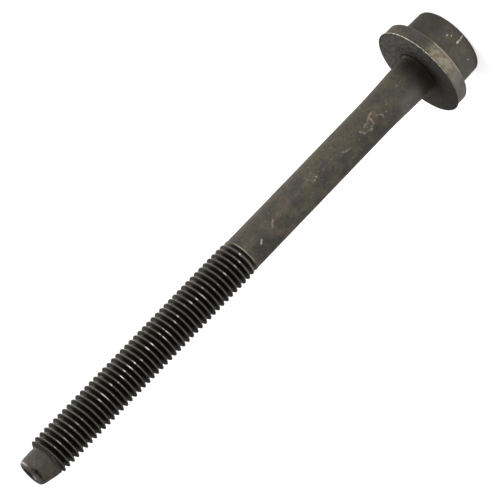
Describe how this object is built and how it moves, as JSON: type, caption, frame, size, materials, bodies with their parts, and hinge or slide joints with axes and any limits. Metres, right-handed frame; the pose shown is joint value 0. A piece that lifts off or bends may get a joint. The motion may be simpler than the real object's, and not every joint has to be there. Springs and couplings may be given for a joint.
{
  "type": "cylinder head bolt",
  "caption": "Long reduced-shank bolt with a round flanged head, an internal twelve-point drive, a right-hand metric thread and a plain point, for clamping an engine's cylinder head.",
  "frame": {"origin": "centre of the head's top face, which is the lowest face as the bolt stands on its head", "axes": "+Z along the bolt's axis from the head to the point; X and Y turn freely round it"},
  "size_m": [0.0292, 0.0292, 0.1713],
  "materials": {
    "phosphated_steel": "dark oiled phosphate coat, worn to bare metal on the crests and the flange's edge"
  },
  "bodies": {
    "root": {"head_bolt": "phosphated_steel"}
  },
  "joints": []
}
